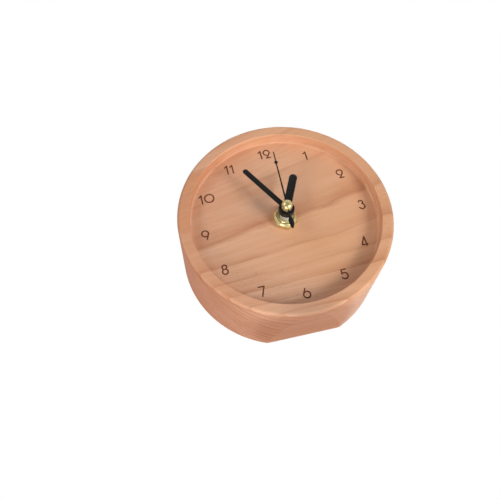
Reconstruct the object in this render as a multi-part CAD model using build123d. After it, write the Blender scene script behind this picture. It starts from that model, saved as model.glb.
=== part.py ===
from build123d import *
import math
import os

# A round wooden desk clock with a quartz movement. All sizes are in millimetres.
# Pieces are built in the clock's own frame: X to 3 o'clock, Y to 12 o'clock, Z out of the dial,
# with zero in the middle of the rim's front face. place() then leans the clock back on its flat.

# Case
case_diameter = 100.0
case_depth = 42.0
rim_width = 5.6
recess_depth = 6.3
dial_thickness = 5.0
pocket_room_share = 0.24
outer_edge_round = 1.5
inner_edge_round = 0.8
recess_foot_round = 1.0
back_edge_round = 1.0
lean_angle = 5.2
base_lip = 2.0

# Centre fixing
bushing_diameter = 8.0
bushing_hole_clearance = 0.2
bushing_flange_diameter = 11.2
bushing_flange_thickness = 0.6
bushing_proud = 0.2
nut_across_flats = 10.4
nut_height = 3.7
nut_corner_chamfer = 1.5
nut_angle = 30.0
gasket_diameter = 24.0
gasket_thickness = 1.0

# Tubes and hands
hour_tube_diameter = 5.0
minute_tube_diameter = 3.2
second_arbor_diameter = 1.2
hour_tube_show = 4.15
hand_gap = 0.4
hand_thickness = 0.5
hub_diameter = 7.3
hour_collar_height = 0.7
hour_hand_length = 19.8
hour_hand_width = 3.8
hour_hand_angle = 25.0
minute_collar_height = 0.7
minute_hand_length = 28.3
minute_hand_width = 2.6
minute_hand_angle = 329.4
second_hand_thickness = 0.4
second_hand_length = 29.4
second_hand_hub_width = 0.8
second_hand_tip_width = 0.5
second_hand_angle = 2.2
second_hand_hub_diameter = 3.8
second_dot_diameter = 1.7
second_dot_reach = 23.5
tail_length = 12.1
tail_neck_reach = 5.7
tail_widest_reach = 8.8
tail_width = 2.4
tail_neck_width = 0.7
socket_diameter = 4.8
socket_height = 1.85
cap_neck_diameter = 2.6
cap_diameter = 5.0
cap_side_height = 0.5
cap_dome_height = 1.5

# Movement housing and cell
battery_diameter = 14.2
battery_length = 50.5
battery_nub_diameter = 5.5
battery_nub_height = 1.0
battery_play = 0.15
battery_side_clearance = 0.4
contact_thickness = 0.4
contact_gap = 0.05
contact_width = 8.0
spring_height = 1.6
spring_foot_diameter = 8.0
spring_top_diameter = 5.0
movement_wall = 1.5
movement_corner_round = 5.0
divider_thickness = 1.2
clip_width = 6.0
clip_thickness = 0.9
clip_grip = 0.5
clip_height = 1.0
clip_tip_share = 0.5
clip_spread = 9.0

# Gear train: tooth counts, levels and bearings
rotor_teeth = 10
intermediate_teeth = 50
intermediate_pinion_teeth = 10
second_teeth = 60
second_pinion_teeth = 8
third_teeth = 60
third_pinion_teeth = 8
centre_teeth = 64
cannon_teeth = 12
motion_teeth = 36
motion_pinion_teeth = 10
hour_teeth = 40
setting_teeth = 10
pressure_angle = 25.0
tooth_backlash = 0.08
wheel_tip_share = 0.7
pinion_tip_share = 0.9
root_gap_share = 0.25
wheel_edge_clearance = 0.5
wheel_thickness = 0.8
cannon_thickness = 1.0
level_gap = 0.4
rotor_reach = 9.0
third_bearing = 150.0
intermediate_bearing = 40.0
rotor_bearing = 60.0
motion_bearing = 90.0
arbor_diameter = 1.0
stud_diameter = 1.6
setting_shaft_diameter = 3.0
pivot_depth = 0.8
end_shake = 0.1
knob_diameter = 11.0
knob_height = 4.0
knob_rib_depth = 0.5
knob_ribs = 24
knob_gap = 0.3

# Motor and circuit
magnet_diameter = 6.0
magnet_length = 3.0
air_gap = 0.4
stator_thickness = 1.0
stator_half_span = 8.8
stator_arm_width = 3.0
stator_spine_width = 6.0
stator_eye_width = 3.0
core_width = 3.0
bobbin_diameter = 4.4
bobbin_flange_diameter = 6.8
bobbin_flange_thickness = 0.7
bobbin_end_gap = 0.3
winding_diameter = 6.2
coil_clearance = 0.4
board_width = 13.0
board_height = 22.0
board_thickness = 1.0
board_gap = 1.2
board_top_gap = 1.5
board_screw_inset = 2.0
chip_diameter = 5.0
chip_height = 1.2
crystal_diameter = 2.0
crystal_length = 6.0
crystal_inset = 6.0
strip_width = 3.0
strip_lap = 2.0
tab_length = 3.0
tab_height = 3.0
screw_diameter = 1.4
screw_head_diameter = 2.6
screw_head_height = 0.8
screw_bite = 3.0
post_diameter = 2.8

# Fits
running_clearance = 0.06
press_clearance = 0.02
seat_clearance = 0.05
slot_clearance = 0.2
overrun = 5.0
edge_match = 0.001

# Case levels
case_radius = case_diameter / 2
recess_radius = case_radius - rim_width
dial_z = -recess_depth
dial_back_z = dial_z - dial_thickness
bushing_radius = bushing_diameter / 2
bushing_hole_radius = bushing_radius + bushing_hole_clearance

# The movement is as wide as its cell with both contacts, and as deep as the cell lies
movement_width = battery_length + spring_height + 2 * (contact_thickness + contact_gap + movement_wall)
movement_half = movement_width / 2
movement_depth = movement_wall + battery_diameter + 2 * battery_play
movement_front_z = dial_back_z - gasket_thickness
movement_rear_z = movement_front_z - movement_depth
plate_z = movement_front_z - movement_wall
cover_z = movement_rear_z + movement_wall
box_half = movement_half - movement_wall
bay_low = -box_half
bay_high = bay_low + battery_diameter + 2 * battery_side_clearance
box_low = bay_high + divider_thickness
clip_inner = movement_half - clip_thickness
clips_middle = (bay_high + movement_half) / 2
clips_at = [clips_middle - clip_spread, clips_middle + clip_spread]
battery_y = (bay_low + bay_high) / 2
battery_z = plate_z - battery_play - battery_diameter / 2
battery_right = box_half - contact_thickness - contact_gap
corner_reach = math.sqrt(2) * (movement_half - movement_corner_round) + movement_corner_round
pocket_radius = corner_reach + pocket_room_share * (case_radius - corner_reach)

# Stack of the hands, from the nut outwards
nut_z = dial_z + nut_height
bushing_z = nut_z + bushing_proud
hour_collar_z = bushing_z + hour_tube_show
hour_hand_z = hour_collar_z + hour_collar_height
hour_top_z = hour_hand_z + hand_thickness
minute_collar_z = hour_top_z + hand_gap
minute_hand_z = minute_collar_z + minute_collar_height
minute_top_z = minute_hand_z + hand_thickness
socket_z = minute_top_z + hand_gap
second_hand_z = socket_z + socket_height
second_top_z = second_hand_z + second_hand_thickness
hub_radius = hub_diameter / 2
hour_tube_radius = hour_tube_diameter / 2
minute_tube_radius = minute_tube_diameter / 2
second_arbor_radius = second_arbor_diameter / 2
arbor_radius = arbor_diameter / 2
stud_radius = stud_diameter / 2
setting_radius = setting_shaft_diameter / 2

# Levels of the wheels, each front face and rear face, from the dial side to the rear
hour_level = plate_z - bushing_flange_thickness - level_gap
cannon_level = hour_level - wheel_thickness - level_gap
centre_level = cannon_level - cannon_thickness - level_gap
third_level = centre_level - wheel_thickness - level_gap
second_level = third_level - wheel_thickness - level_gap
intermediate_level = second_level - wheel_thickness - level_gap
magnet_level = intermediate_level - wheel_thickness - level_gap
pivot_front_z = plate_z + pivot_depth
pivot_rear_z = cover_z - pivot_depth

# The train's reach is the smaller of two rooms: the centre wheel has to clear the battery bay below the
# middle, and the setting pinion, at the end of the motion work, has to clear the wall above it
centre_tooth_sum = centre_teeth + third_pinion_teeth
cannon_tooth_sum = cannon_teeth + motion_teeth
centre_tip_share = (centre_teeth + 2 * wheel_tip_share) / centre_tooth_sum
setting_tip_share = 1 + (motion_teeth + 2 * setting_teeth + 2 * pinion_tip_share) / cannon_tooth_sum
room_below = (-box_low - wheel_edge_clearance) / centre_tip_share
room_above = (box_half - wheel_edge_clearance) / setting_tip_share
train_reach = min(room_below, room_above)
centre_module = 2 * train_reach / centre_tooth_sum
third_module = 2 * train_reach / (third_teeth + second_pinion_teeth)
second_module = 2 * train_reach / (second_teeth + intermediate_pinion_teeth)
cannon_module = 2 * train_reach / cannon_tooth_sum
hour_module = 2 * train_reach / (hour_teeth + motion_pinion_teeth)
rotor_module = 2 * rotor_reach / (rotor_teeth + intermediate_teeth)
setting_reach = cannon_module * (motion_teeth + setting_teeth) / 2


def from_point(start, reach, bearing):
    """Point at a distance and a bearing, in degrees from X, from another point."""
    angle = math.radians(bearing)
    return start[0] + reach * math.cos(angle), start[1] + reach * math.sin(angle)


middle = (0, 0)
third_at = from_point(middle, train_reach, third_bearing)
intermediate_at = from_point(middle, train_reach, intermediate_bearing)
rotor_at = from_point(intermediate_at, rotor_reach, rotor_bearing)
motion_at = from_point(middle, train_reach, motion_bearing)
setting_at = from_point(motion_at, setting_reach, motion_bearing)

# Motor and circuit places
stator_front_z = magnet_level - (magnet_length - stator_thickness) / 2
stator_rear_z = stator_front_z - stator_thickness
core_front_z = stator_front_z + stator_thickness
core_middle_z = (core_front_z + stator_front_z) / 2
coil_x = box_half - coil_clearance - bobbin_flange_diameter / 2
stator_high = rotor_at[1] + stator_half_span
stator_low = rotor_at[1] - stator_half_span
bobbin_half = stator_half_span - stator_arm_width / 2 - bobbin_end_gap
board_rear_z = cover_z + board_gap
board_front_z = board_rear_z + board_thickness
board_left = -box_half + contact_thickness + slot_clearance
board_right = board_left + board_width
board_high = box_half - board_top_gap
board_low = board_high - board_height
board_middle = ((board_left + board_right) / 2, (board_low + board_high) / 2)
screw_radius = screw_diameter / 2
stator_screws_at = [(coil_x, stator_low), (coil_x, stator_high)]
board_screws_at = [
    (board_left + board_screw_inset, board_low + board_screw_inset),
    (board_left + board_screw_inset, board_high - board_screw_inset),
]
contact_front_z = battery_z + contact_width / 2
contact_rear_z = battery_z - contact_width / 2


def rod(radius, front, back, at=middle):
    """Round bar along Z between two levels."""
    return Pos(at[0], at[1], (front + back) / 2) * Cylinder(radius, front - back)


def tube(outer, inner, front, back, at=middle):
    """Round tube along Z between two levels."""
    return rod(outer, front, back, at) - rod(inner, front + overrun, back - overrun, at)


def bar(left, right, low, high, front, back):
    """Straight-sided block between limits in X, Y and Z."""
    spot = Pos((left + right) / 2, (low + high) / 2, (front + back) / 2)
    return spot * Box(right - left, high - low, front - back)


def plate(outline, front, back):
    """A flat outline made solid between two levels."""
    return Pos(0, 0, back) * extrude(outline, amount=front - back)


def rings(solid, radius, level):
    """The round edges of one radius at one level."""
    found = solid.edges().filter_by(GeomType.CIRCLE)
    found = [edge for edge in found if abs(edge.radius - radius) < edge_match]
    return [edge for edge in found if abs(edge.arc_center.Z - level) < edge_match]


def case_body():
    """Turned block with the dial recess in front, the pocket behind and the flat it stands on."""
    block = rod(case_radius, 0, -case_depth)
    block -= rod(recess_radius, overrun, dial_z)
    block -= rod(pocket_radius, dial_back_z, -case_depth - overrun)
    block -= rod(bushing_hole_radius, dial_z + overrun, dial_back_z - overrun)
    block = fillet(rings(block, case_radius, 0), outer_edge_round)
    block = fillet(rings(block, recess_radius, 0), inner_edge_round)
    block = fillet(rings(block, recess_radius, dial_z), recess_foot_round)
    block = fillet(rings(block, case_radius, -case_depth), back_edge_round)
    block = fillet(rings(block, pocket_radius, -case_depth), back_edge_round)
    wedge = Pos(0, -case_diameter / 2, 0) * Box(case_diameter, case_diameter, 2 * case_diameter)
    return block - Pos(0, -case_radius, -base_lip) * Rot(lean_angle, 0, 0) * wedge


def gasket():
    """Rubber ring between the dial's back and the movement."""
    return tube(gasket_diameter / 2, bushing_hole_radius, dial_back_z, movement_front_z)


def hex_nut():
    """Brass nut with its upper corners turned off."""
    corner_radius = nut_across_flats / math.sqrt(3)
    nut = plate(RegularPolygon(corner_radius, 6, rotation=nut_angle), nut_z, dial_z)
    turned = chamfer(rings(rod(corner_radius, nut_z, dial_z), corner_radius, nut_z), nut_corner_chamfer)
    nut &= turned
    return nut - rod(bushing_radius + seat_clearance, nut_z + overrun, dial_z - overrun)


def threaded_bushing():
    """Brass sleeve that holds the movement to the dial, flanged inside the movement."""
    sleeve = rod(bushing_radius, bushing_z, plate_z)
    sleeve += rod(bushing_flange_diameter / 2, plate_z, plate_z - bushing_flange_thickness)
    bore = hour_tube_radius + running_clearance
    return sleeve - rod(bore, bushing_z + overrun, plate_z - overrun)


def involute(angle):
    """Involute function of a pressure angle in radians."""
    return math.tan(angle) - angle


def tooth_half_angle(teeth, module, radius):
    """Half of the angle that a tooth fills at a radius."""
    pressure = math.radians(pressure_angle)
    pitch_radius = teeth * module / 2
    slope = math.acos(min(1, pitch_radius * math.cos(pressure) / radius))
    half_width = (math.pi * module - tooth_backlash) / 4
    return half_width / pitch_radius + involute(pressure) - involute(slope)


def gear_outline(teeth, module, radii, turned):
    """Outline of a gear. The radii of a flank run from root to tip; turned is a tooth's bearing."""
    corners = []
    for tooth in range(teeth):
        bearing = turned + 2 * math.pi * tooth / teeth
        rising = [(radius, -1) for radius in radii]
        falling = [(radius, 1) for radius in reversed(radii)]
        for radius, side in rising + falling:
            angle = bearing + side * tooth_half_angle(teeth, module, radius)
            corners.append((radius * math.cos(angle), radius * math.sin(angle)))
    return Polygon(*corners, align=None)


def wheel_outline(teeth, module, turned):
    """Outline of a wheel that meshes with a pinion."""
    pitch_radius = teeth * module / 2
    root = pitch_radius - (pinion_tip_share + root_gap_share) * module
    return gear_outline(teeth, module, [root, pitch_radius + wheel_tip_share * module], turned)


def pinion_outline(teeth, module, turned):
    """Outline of a pinion, with one more corner on each flank."""
    pitch_radius = teeth * module / 2
    root = pitch_radius - (wheel_tip_share + root_gap_share) * module
    return gear_outline(teeth, module, [root, pitch_radius, pitch_radius + pinion_tip_share * module], turned)


def meshed(teeth, mate_teeth, mate_turned, bearing):
    """Bearing of a tooth so that a gear meshes with its mate. The mate sees it at the bearing in degrees."""
    line = math.radians(bearing)
    mate_pitch = 2 * math.pi / mate_teeth
    own_pitch = 2 * math.pi / teeth
    return line + math.pi - own_pitch / 2 + own_pitch * (line - mate_turned) / mate_pitch


def at(spot, solid):
    """A solid moved from the middle to an arbor's place."""
    return Pos(spot[0], spot[1], 0) * solid


def rotor():
    """Magnet and pinion of the stepping motor on one arbor."""
    turned = meshed(rotor_teeth, intermediate_teeth, 0, rotor_bearing)
    solid = plate(pinion_outline(rotor_teeth, rotor_module, turned), intermediate_level, magnet_level)
    solid += rod(magnet_diameter / 2, magnet_level, magnet_level - magnet_length)
    return at(rotor_at, solid + rod(arbor_radius, pivot_front_z, pivot_rear_z))


def intermediate_wheel():
    """Wheel driven by the rotor, with the pinion that drives the second wheel."""
    rear = intermediate_level - wheel_thickness
    turned = meshed(intermediate_pinion_teeth, second_teeth, 0, intermediate_bearing)
    leaves = pinion_outline(intermediate_pinion_teeth, second_module, turned)
    solid = plate(wheel_outline(intermediate_teeth, rotor_module, 0), intermediate_level, rear)
    solid += plate(leaves, second_level, intermediate_level)
    return at(intermediate_at, solid + rod(arbor_radius, pivot_front_z, pivot_rear_z))


def second_wheel():
    """Wheel and pinion on the long arbor that carries the second hand."""
    rear = second_level - wheel_thickness
    solid = plate(wheel_outline(second_teeth, second_module, 0), second_level, rear)
    solid += plate(pinion_outline(second_pinion_teeth, third_module, 0), third_level, second_level)
    return solid + rod(second_arbor_radius, second_top_z, pivot_rear_z)


def third_wheel():
    """Wheel driven by the second pinion, with the pinion that drives the centre wheel."""
    turned = meshed(third_teeth, second_pinion_teeth, 0, third_bearing)
    rear = third_level - wheel_thickness
    solid = plate(wheel_outline(third_teeth, third_module, turned), third_level, rear)
    solid += plate(pinion_outline(third_pinion_teeth, centre_module, 0), centre_level, third_level)
    return at(third_at, solid + rod(arbor_radius, pivot_front_z, pivot_rear_z))


def centre_wheel():
    """Wheel that drives the cannon pinion by friction on its pipe."""
    turned = meshed(centre_teeth, third_pinion_teeth, 0, third_bearing + math.degrees(math.pi))
    rear = centre_level - wheel_thickness
    disc = plate(wheel_outline(centre_teeth, centre_module, turned), centre_level, rear)
    return disc - rod(minute_tube_radius + running_clearance, centre_level + overrun, rear - overrun)


def cannon_pinion():
    """Minute tube with the pinion that drives the motion wheel."""
    rear = centre_level - wheel_thickness - level_gap / 2
    leaves = pinion_outline(cannon_teeth, cannon_module, 0)
    solid = rod(minute_tube_radius, minute_top_z, rear)
    solid += plate(leaves, cannon_level, cannon_level - cannon_thickness)
    bore = second_arbor_radius + running_clearance
    return solid - rod(bore, minute_top_z + overrun, rear - overrun)


def motion_turned():
    """Bearing of a tooth of the motion wheel, which meshes with the cannon and the setting pinion."""
    return meshed(motion_teeth, cannon_teeth, 0, motion_bearing)


def motion_wheel():
    """Wheel driven by the cannon pinion, with the pinion that drives the hour wheel, on a stud."""
    rear = cannon_level - cannon_thickness
    solid = plate(wheel_outline(motion_teeth, cannon_module, motion_turned()), cannon_level, rear)
    solid += plate(pinion_outline(motion_pinion_teeth, hour_module, 0), hour_level, cannon_level)
    solid -= rod(stud_radius + running_clearance, hour_level + overrun, rear - overrun)
    return at(motion_at, solid)


def hour_wheel():
    """Wheel on the hour tube, which turns inside the bushing."""
    turned = meshed(hour_teeth, motion_pinion_teeth, 0, motion_bearing + math.degrees(math.pi))
    rear = hour_level - wheel_thickness
    solid = plate(wheel_outline(hour_teeth, hour_module, turned), hour_level, rear)
    solid += rod(hour_tube_radius, hour_top_z, hour_level)
    return solid - rod(minute_tube_radius + running_clearance, hour_top_z + overrun, rear - overrun)


def setting_shaft():
    """Shaft and pinion that turn the motion wheel by hand."""
    turned = meshed(setting_teeth, motion_teeth, motion_turned(), motion_bearing)
    leaves = pinion_outline(setting_teeth, cannon_module, turned)
    solid = plate(leaves, cannon_level, cannon_level - cannon_thickness)
    knob_rear_z = movement_rear_z - knob_gap - knob_height
    return at(setting_at, solid + rod(setting_radius, pivot_front_z, knob_rear_z))


def setting_knob():
    """Ribbed knob pressed on the shaft behind the movement."""
    front = movement_rear_z - knob_gap
    rear = front - knob_height
    corners = []
    for step in range(2 * knob_ribs):
        radius = knob_diameter / 2 - knob_rib_depth * (step % 2)
        angle = math.pi * step / knob_ribs
        corners.append((radius * math.cos(angle), radius * math.sin(angle)))
    knob = plate(Polygon(*corners, align=None), front, rear)
    return at(setting_at, knob - rod(setting_radius + press_clearance, front + overrun, rear - overrun))


def movement_outline():
    """Square outline of the movement with round corners."""
    return RectangleRounded(movement_width, movement_width, movement_corner_round)


def screw_holes(solid, places, front, back, clearance):
    """A solid with round holes for screws at the given places."""
    for spot in places:
        solid -= rod(screw_radius + clearance, front, back, spot)
    return solid


def clip(side, level):
    """Hook on the tray's wall that snaps over the cover's edge. Side is 1 on the right and -1 on the left."""
    under = movement_rear_z - seat_clearance
    top = under - clip_height
    tip = clip_inner - clip_grip
    slope = under - clip_tip_share * clip_height
    hook = [(movement_half, cover_z), (movement_half, top), (clip_inner, top), (tip, slope)]
    hook += [(tip, under), (clip_inner, under), (clip_inner, cover_z)]
    profile = Polygon(*[(side * across, height) for across, height in hook], align=None)
    return Pos(0, level, 0) * extrude(Plane.XZ * profile, amount=clip_width / 2, both=True)


def movement_base():
    """Tray with the gear box and the battery bay, its clips, its posts, its stud and its pivot holes."""
    open_z = movement_rear_z - overrun
    solid = plate(movement_outline(), movement_front_z, movement_rear_z)
    solid -= bar(-box_half, box_half, box_low, box_half, plate_z, open_z)
    solid -= bar(-box_half, box_half, bay_low, bay_high, plate_z, open_z)
    solid -= bar(-movement_width, movement_width, bay_high, movement_width, cover_z, open_z)
    solid -= rod(bushing_radius + seat_clearance, movement_front_z + overrun, plate_z - overrun)
    for spot in (third_at, intermediate_at, rotor_at):
        solid -= rod(arbor_radius + running_clearance, pivot_front_z + end_shake, plate_z - end_shake, spot)
    hole = setting_radius + running_clearance
    solid -= rod(hole, pivot_front_z + end_shake, plate_z - end_shake, setting_at)
    solid += rod(stud_radius, plate_z, cannon_level - cannon_thickness, motion_at)
    for spot in stator_screws_at:
        solid += rod(post_diameter / 2, plate_z, core_front_z, spot)
    for spot in board_screws_at:
        solid += rod(post_diameter / 2, plate_z, board_front_z, spot)
    solid = screw_holes(solid, stator_screws_at, stator_front_z + screw_bite, open_z, press_clearance)
    solid = screw_holes(solid, board_screws_at, board_front_z + screw_bite, open_z, press_clearance)
    slot = box_half - contact_thickness - slot_clearance
    slot_front = contact_front_z + slot_clearance
    solid -= bar(slot, box_half, bay_high - overrun, box_low + overrun, slot_front, open_z)
    solid -= bar(-box_half, -slot, bay_high - overrun, box_low + overrun, slot_front, open_z)
    for level in clips_at:
        solid += clip(1, level) + clip(-1, level)
    return solid


def movement_cover():
    """Plate over the gear box with notches for the clips, rear pivot holes and the setting shaft's hole."""
    solid = plate(movement_outline(), cover_z, movement_rear_z)
    solid -= bar(-movement_width, movement_width, -movement_width, bay_high, cover_z + overrun, -case_depth)
    notch = clip_inner - seat_clearance
    half = clip_width / 2 + slot_clearance
    for level in clips_at:
        solid -= bar(notch, movement_width, level - half, level + half, cover_z + overrun, -case_depth)
        solid -= bar(-movement_width, -notch, level - half, level + half, cover_z + overrun, -case_depth)
    for spot in (third_at, intermediate_at, rotor_at):
        solid -= rod(arbor_radius + running_clearance, cover_z + overrun, pivot_rear_z - end_shake, spot)
    solid -= rod(second_arbor_radius + running_clearance, cover_z + overrun, pivot_rear_z - end_shake)
    return solid - rod(setting_radius + running_clearance, cover_z + overrun, -case_depth, setting_at)


def stator():
    """Soft-iron plate with an eye round the rotor and two arms to the coil."""
    eye = magnet_diameter / 2 + air_gap
    spine = stator_spine_width / 2
    right = coil_x + core_width / 2
    half_arm = stator_arm_width / 2
    front = stator_front_z
    rear = stator_rear_z
    solid = rod(eye + stator_eye_width, front, rear, rotor_at)
    left = rotor_at[0] - spine
    solid += bar(left, rotor_at[0] + spine, stator_low - half_arm, stator_high + half_arm, front, rear)
    for level in (stator_low, stator_high):
        solid += bar(left, right, level - half_arm, level + half_arm, front, rear)
    solid -= rod(eye, front + overrun, rear - overrun, rotor_at)
    return screw_holes(solid, stator_screws_at, front + overrun, rear - overrun, seat_clearance)


def coil_core():
    """Iron strip through the coil, screwed to both arms of the stator."""
    half_arm = stator_arm_width / 2
    left = coil_x - core_width / 2
    right = coil_x + core_width / 2
    rear = stator_front_z
    solid = bar(left, right, stator_low - half_arm, stator_high + half_arm, core_front_z, rear)
    return screw_holes(solid, stator_screws_at, core_front_z + overrun, rear - overrun, seat_clearance)


def along_coil(radius, low, high):
    """Round bar along the coil between two places on Y, counted from the rotor."""
    spot = Pos(coil_x, rotor_at[1] + (low + high) / 2, core_middle_z)
    return spot * Rot(90, 0, 0) * Cylinder(radius, high - low)


def coil_bobbin():
    """Plastic reel on the core."""
    inner = bobbin_half - bobbin_flange_thickness
    solid = along_coil(bobbin_diameter / 2, -bobbin_half, bobbin_half)
    solid += along_coil(bobbin_flange_diameter / 2, inner, bobbin_half)
    solid += along_coil(bobbin_flange_diameter / 2, -bobbin_half, -inner)
    half_width = core_width / 2 + seat_clearance
    left = coil_x - half_width
    right = coil_x + half_width
    front = core_front_z + seat_clearance
    rear = stator_front_z - seat_clearance
    return solid - bar(left, right, stator_low, stator_high, front, rear)


def coil_winding():
    """The wound copper wire as one full reel."""
    half = bobbin_half - bobbin_flange_thickness - press_clearance
    inner = bobbin_diameter / 2 + press_clearance
    return along_coil(winding_diameter / 2, -half, half) - along_coil(inner, -overrun - half, overrun + half)


def circuit_board():
    """Board with the clock's circuit on two posts."""
    solid = bar(board_left, board_right, board_low, board_high, board_front_z, board_rear_z)
    front = board_front_z + overrun
    return screw_holes(solid, board_screws_at, front, board_rear_z - overrun, seat_clearance)


def chip():
    """Drop of resin over the chip, on the board's front."""
    drop = rod(chip_diameter / 2, board_front_z + chip_height, board_front_z, board_middle)
    return fillet(rings(drop, chip_diameter / 2, board_front_z + chip_height), chip_height / 2)


def crystal():
    """Can of the quartz crystal, lying on the board's front."""
    radius = crystal_diameter / 2
    spot = Pos(board_middle[0], board_high - crystal_inset, board_front_z + radius)
    return spot * Rot(0, 90, 0) * Cylinder(radius, crystal_length)


def movement_screws():
    """The four equal screws of the stator and of the board."""
    seats = [(spot, stator_rear_z, stator_front_z) for spot in stator_screws_at]
    seats += [(spot, board_rear_z, board_front_z) for spot in board_screws_at]
    solids = []
    for spot, head, under in seats:
        screw = rod(screw_radius, under + screw_bite - end_shake, head, spot)
        solids.append(screw + rod(screw_head_diameter / 2, head, head - screw_head_height, spot))
    return Compound(solids)


def battery():
    """AA cell, its plus end to 3 o'clock."""
    nub_x = battery_right - battery_nub_height
    left = battery_right - battery_length
    body = Pos((left + nub_x) / 2, battery_y, battery_z)
    nub = Pos((nub_x + battery_right) / 2, battery_y, battery_z)
    solid = body * Rot(0, 90, 0) * Cylinder(battery_diameter / 2, nub_x - left)
    return solid + nub * Rot(0, 90, 0) * Cylinder(battery_nub_diameter / 2, battery_nub_height)


def contact_positive():
    """Bent strip from the plus end along the divider to the board."""
    inner = box_half - contact_thickness
    front = board_front_z + strip_width
    lower = battery_y - contact_width / 2
    upper = box_low + contact_thickness
    left = board_right - strip_lap
    solid = bar(inner, box_half, lower, upper, contact_front_z, contact_rear_z)
    solid += bar(left, box_half, box_low, upper, front, board_front_z)
    return solid + bar(left, left + contact_thickness, box_low, board_low + strip_lap, front, board_front_z)


def contact_negative():
    """Bent strip from the minus end up the wall to the board, with a sprung dome on the cell."""
    inner = -box_half + contact_thickness
    lower = battery_y - contact_width / 2
    upper = board_middle[1]
    tab_front = board_front_z + contact_thickness
    solid = bar(-box_half, inner, lower, upper, contact_front_z, contact_rear_z)
    solid += bar(-box_half, inner + tab_length, upper - tab_height, upper, tab_front, board_front_z)
    dome = Cone(spring_foot_diameter / 2, spring_top_diameter / 2, spring_height)
    return solid + Pos(inner + spring_height / 2, battery_y, battery_z) * Rot(0, 90, 0) * dome


def baton(width, length):
    """Outline of a hand with a round end and a round hub, pointing to 12 o'clock."""
    straight = length - width / 2
    outline = Pos(0, straight / 2) * Rectangle(width, straight)
    return outline + Pos(0, straight) * Circle(width / 2) + Circle(hub_radius)


def collared_hand(width, length, level, collar_height, tube_radius):
    """Flat hand with a collar below it that is pressed on a tube."""
    top = level + hand_thickness
    solid = plate(baton(width, length), top, level)
    solid += rod(hub_radius, level, level - collar_height)
    bore = tube_radius + press_clearance
    return solid - rod(bore, top + overrun, level - collar_height - overrun)


def clockwise(angle, solid):
    """A hand turned from 12 o'clock by an angle."""
    return Rot(0, 0, -angle) * solid


def hour_hand():
    """Short baton on the hour tube."""
    hand = collared_hand(hour_hand_width, hour_hand_length, hour_hand_z, hour_collar_height, hour_tube_radius)
    return clockwise(hour_hand_angle, hand)


def minute_hand():
    """Long baton on the minute tube."""
    hand = collared_hand(
        minute_hand_width, minute_hand_length, minute_hand_z, minute_collar_height, minute_tube_radius
    )
    return clockwise(minute_hand_angle, hand)


def second_hand():
    """Needle with a dot near its tip and a leaf for its tail."""
    hub_half = second_hand_hub_width / 2
    tip_half = second_hand_tip_width / 2
    neck_half = tail_neck_width / 2
    leaf_half = tail_width / 2
    needle = [(-hub_half, 0), (hub_half, 0), (tip_half, second_hand_length), (-tip_half, second_hand_length)]
    neck = [(-neck_half, 0), (-neck_half, -tail_neck_reach), (neck_half, -tail_neck_reach), (neck_half, 0)]
    top = Line(neck[1], neck[2])
    right = Spline(neck[2], (leaf_half, -tail_widest_reach), (0, -tail_length))
    left = Spline((0, -tail_length), (-leaf_half, -tail_widest_reach), neck[1])
    outline = Polygon(*needle, align=None) + Polygon(*neck, align=None) + make_face([top, right, left])
    outline += Pos(0, second_dot_reach) * Circle(second_dot_diameter / 2)
    outline += Circle(second_hand_hub_diameter / 2)
    hand = plate(outline, second_top_z, second_hand_z)
    hand -= rod(cap_neck_diameter / 2 + press_clearance, second_top_z + overrun, second_hand_z - overrun)
    return clockwise(second_hand_angle, hand)


def second_hand_cap():
    """Brass dome, neck and socket in one, riveted through the second hand and pressed on its arbor."""
    radius = cap_diameter / 2
    top = second_top_z + cap_side_height
    ball_radius = (radius**2 + cap_dome_height**2) / (2 * cap_dome_height)
    dome = Pos(0, 0, top + cap_dome_height - ball_radius) * Sphere(ball_radius)
    cap = dome & rod(radius, top + cap_dome_height, second_top_z)
    cap += rod(cap_neck_diameter / 2, second_top_z, second_hand_z)
    cap += rod(socket_diameter / 2, second_hand_z, socket_z)
    return cap - rod(second_arbor_radius + press_clearance, second_top_z + end_shake, socket_z - overrun)


def place(solid):
    """From the clock's frame to its stand: front to -Y, leaning back, zero in the middle of the flat."""
    flat_z = -(base_lip + case_depth) / 2
    flat_y = (-flat_z - base_lip) * math.tan(math.radians(lean_angle)) - case_radius
    return Rot(90 - lean_angle, 0, 0) * Pos(0, -flat_y, -flat_z) * solid


pieces = (
    case_body,
    gasket,
    hex_nut,
    threaded_bushing,
    movement_base,
    movement_cover,
    rotor,
    stator,
    coil_core,
    coil_bobbin,
    coil_winding,
    intermediate_wheel,
    second_wheel,
    third_wheel,
    centre_wheel,
    cannon_pinion,
    motion_wheel,
    hour_wheel,
    setting_shaft,
    setting_knob,
    circuit_board,
    chip,
    crystal,
    movement_screws,
    contact_positive,
    contact_negative,
    battery,
    hour_hand,
    minute_hand,
    second_hand,
    second_hand_cap,
)

os.makedirs("parts", exist_ok=True)
for piece in pieces:
    export_step(place(piece()), f"parts/{piece.__name__}.step")
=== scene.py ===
"""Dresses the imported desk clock: a turned beech case with burnt numerals, a brass fixing, black hands
and a quartz movement in the pocket behind the dial."""

import logging
import math
from dataclasses import dataclass
from enum import Enum
from functools import lru_cache, reduce

import bmesh
import bpy
from mathutils import Matrix, Vector


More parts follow.
